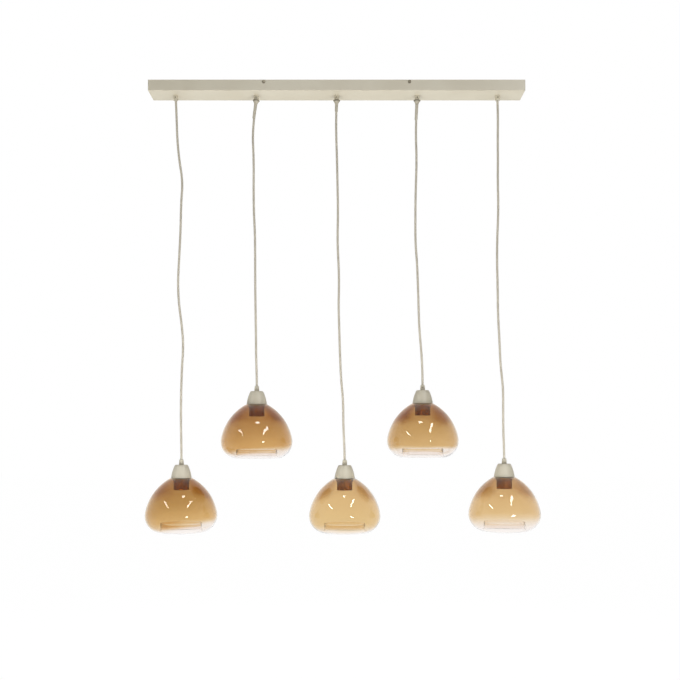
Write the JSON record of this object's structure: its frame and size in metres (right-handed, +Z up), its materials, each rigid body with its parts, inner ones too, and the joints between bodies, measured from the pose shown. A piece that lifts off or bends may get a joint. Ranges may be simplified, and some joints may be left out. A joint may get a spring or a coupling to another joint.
{
  "type": "linear island pendant light",
  "caption": "Long shallow cream ceiling canopy with a row of textile cords at staggered heights, each with a capped lampholder and a mushroom-shaped amber glass shade fading to clear.",
  "frame": {"origin": "centre of the ceiling screw pattern, on the ceiling plane", "axes": "+Z up to the ceiling, +X along the canopy to the right seen from the front, -Y towards the front"},
  "size_m": [1.05, 0.19, 1.2003],
  "materials": {
    "cream_enamel": "satin powder coat",
    "zinc_plate": "zinc plated",
    "screw_steel": "plated",
    "connector_plastic": "moulded",
    "terminal_brass": "bright",
    "textile_cord": "braided textile over rubber",
    "nylon": "moulded",
    "sleeve_plastic": "moulded",
    "amber_glass": "blown, amber lustre fading to clear",
    "brown_bakelite": "moulded",
    "lampholder_black": "moulded",
    "ceramic_core": "glazed",
    "contact_brass": "nickelled"
  },
  "bodies": {
    "canopy": {"canopy_cover": "cream_enamel", "ceiling_bracket": "zinc_plate", "side_screws": "screw_steel", "terminal_block": "connector_plastic", "terminal_screws": "terminal_brass", "earth_screw": "terminal_brass", "gland_bodies": "cream_enamel", "gland_nuts": "zinc_plate", "gland_grub_screws": "screw_steel", "lead_tails": "textile_cord"},
    "bush_1": {"cord_bush_1": "nylon"},
    "hung_cord_1": {"cord_1": "textile_cord"},
    "head_1": {"cord_grip_1": "cream_enamel", "lamp_cap_1": "cream_enamel", "glass_shade_1": "amber_glass", "shade_ring_1": "brown_bakelite", "lampholder_1": "lampholder_black", "holder_insulator_1": "ceramic_core", "holder_contacts_1": "contact_brass", "grip_screw_1": "screw_steel"},
    "bush_2": {"cord_bush_2": "nylon"},
    "hung_cord_2": {"cord_2": "textile_cord", "cord_sleeve_2": "sleeve_plastic"},
    "head_2": {"cord_grip_2": "cream_enamel", "lamp_cap_2": "cream_enamel", "glass_shade_2": "amber_glass", "shade_ring_2": "brown_bakelite", "lampholder_2": "lampholder_black", "holder_insulator_2": "ceramic_core", "holder_contacts_2": "contact_brass", "grip_screw_2": "screw_steel"},
    "bush_3": {"cord_bush_3": "nylon"},
    "hung_cord_3": {"cord_3": "textile_cord", "cord_sleeve_3": "sleeve_plastic"},
    "head_3": {"cord_grip_3": "cream_enamel", "lamp_cap_3": "cream_enamel", "glass_shade_3": "amber_glass", "shade_ring_3": "brown_bakelite", "lampholder_3": "lampholder_black", "holder_insulator_3": "ceramic_core", "holder_contacts_3": "contact_brass", "grip_screw_3": "screw_steel"},
    "bush_4": {"cord_bush_4": "nylon"},
    "hung_cord_4": {"cord_4": "textile_cord", "cord_sleeve_4": "sleeve_plastic"},
    "head_4": {"cord_grip_4": "cream_enamel", "lamp_cap_4": "cream_enamel", "glass_shade_4": "amber_glass", "shade_ring_4": "brown_bakelite", "lampholder_4": "lampholder_black", "holder_insulator_4": "ceramic_core", "holder_contacts_4": "contact_brass", "grip_screw_4": "screw_steel"},
    "bush_5": {"cord_bush_5": "nylon"},
    "hung_cord_5": {"cord_5": "textile_cord"},
    "head_5": {"cord_grip_5": "cream_enamel", "lamp_cap_5": "cream_enamel", "glass_shade_5": "amber_glass", "shade_ring_5": "brown_bakelite", "lampholder_5": "lampholder_black", "holder_insulator_5": "ceramic_core", "holder_contacts_5": "contact_brass", "grip_screw_5": "screw_steel"}
  },
  "joints": [
    {"name": "swing_front_1", "type": "hinge", "parent": "canopy", "child": "bush_1", "pos_m": [-0.432, 0, -0.0414], "axis": [1, 0, 0], "range_deg": [-25, 25]},
    {"name": "swing_side_1", "type": "hinge", "parent": "bush_1", "child": "hung_cord_1", "pos_m": [-0.432, 0, -0.0414], "axis": [0, 1, 0], "range_deg": [-6, 6]},
    {"name": "drop_1", "type": "slide", "parent": "hung_cord_1", "child": "head_1", "axis": [0, 0, 1], "range_m": [0, 0.45], "deforming": ["cord_1"]},
    {"name": "swing_front_2", "type": "hinge", "parent": "canopy", "child": "bush_2", "pos_m": [-0.216, 0, -0.0414], "axis": [1, 0, 0], "range_deg": [-25, 25]},
    {"name": "swing_side_2", "type": "hinge", "parent": "bush_2", "child": "hung_cord_2", "pos_m": [-0.216, 0, -0.0414], "axis": [0, 1, 0], "range_deg": [-6, 6]},
    {"name": "drop_2", "type": "slide", "parent": "hung_cord_2", "child": "head_2", "axis": [0, 0, 1], "range_m": [-0.195, 0.255], "deforming": ["cord_2"]},
    {"name": "swing_front_3", "type": "hinge", "parent": "canopy", "child": "bush_3", "pos_m": [0, 0, -0.0414], "axis": [1, 0, 0], "range_deg": [-25, 25]},
    {"name": "swing_side_3", "type": "hinge", "parent": "bush_3", "child": "hung_cord_3", "pos_m": [0, 0, -0.0414], "axis": [0, 1, 0], "range_deg": [-6, 6]},
    {"name": "drop_3", "type": "slide", "parent": "hung_cord_3", "child": "head_3", "axis": [0, 0, 1], "range_m": [0, 0.45], "deforming": ["cord_3"]},
    {"name": "swing_front_4", "type": "hinge", "parent": "canopy", "child": "bush_4", "pos_m": [0.216, 0, -0.0414], "axis": [1, 0, 0], "range_deg": [-25, 25]},
    {"name": "swing_side_4", "type": "hinge", "parent": "bush_4", "child": "hung_cord_4", "pos_m": [0.216, 0, -0.0414], "axis": [0, 1, 0], "range_deg": [-6, 6]},
    {"name": "drop_4", "type": "slide", "parent": "hung_cord_4", "child": "head_4", "axis": [0, 0, 1], "range_m": [-0.195, 0.255], "deforming": ["cord_4"]},
    {"name": "swing_front_5", "type": "hinge", "parent": "canopy", "child": "bush_5", "pos_m": [0.432, 0, -0.0414], "axis": [1, 0, 0], "range_deg": [-25, 25]},
    {"name": "swing_side_5", "type": "hinge", "parent": "bush_5", "child": "hung_cord_5", "pos_m": [0.432, 0, -0.0414], "axis": [0, 1, 0], "range_deg": [-6, 6]},
    {"name": "drop_5", "type": "slide", "parent": "hung_cord_5", "child": "head_5", "axis": [0, 0, 1], "range_m": [0, 0.45], "deforming": ["cord_5"]}
  ]
}
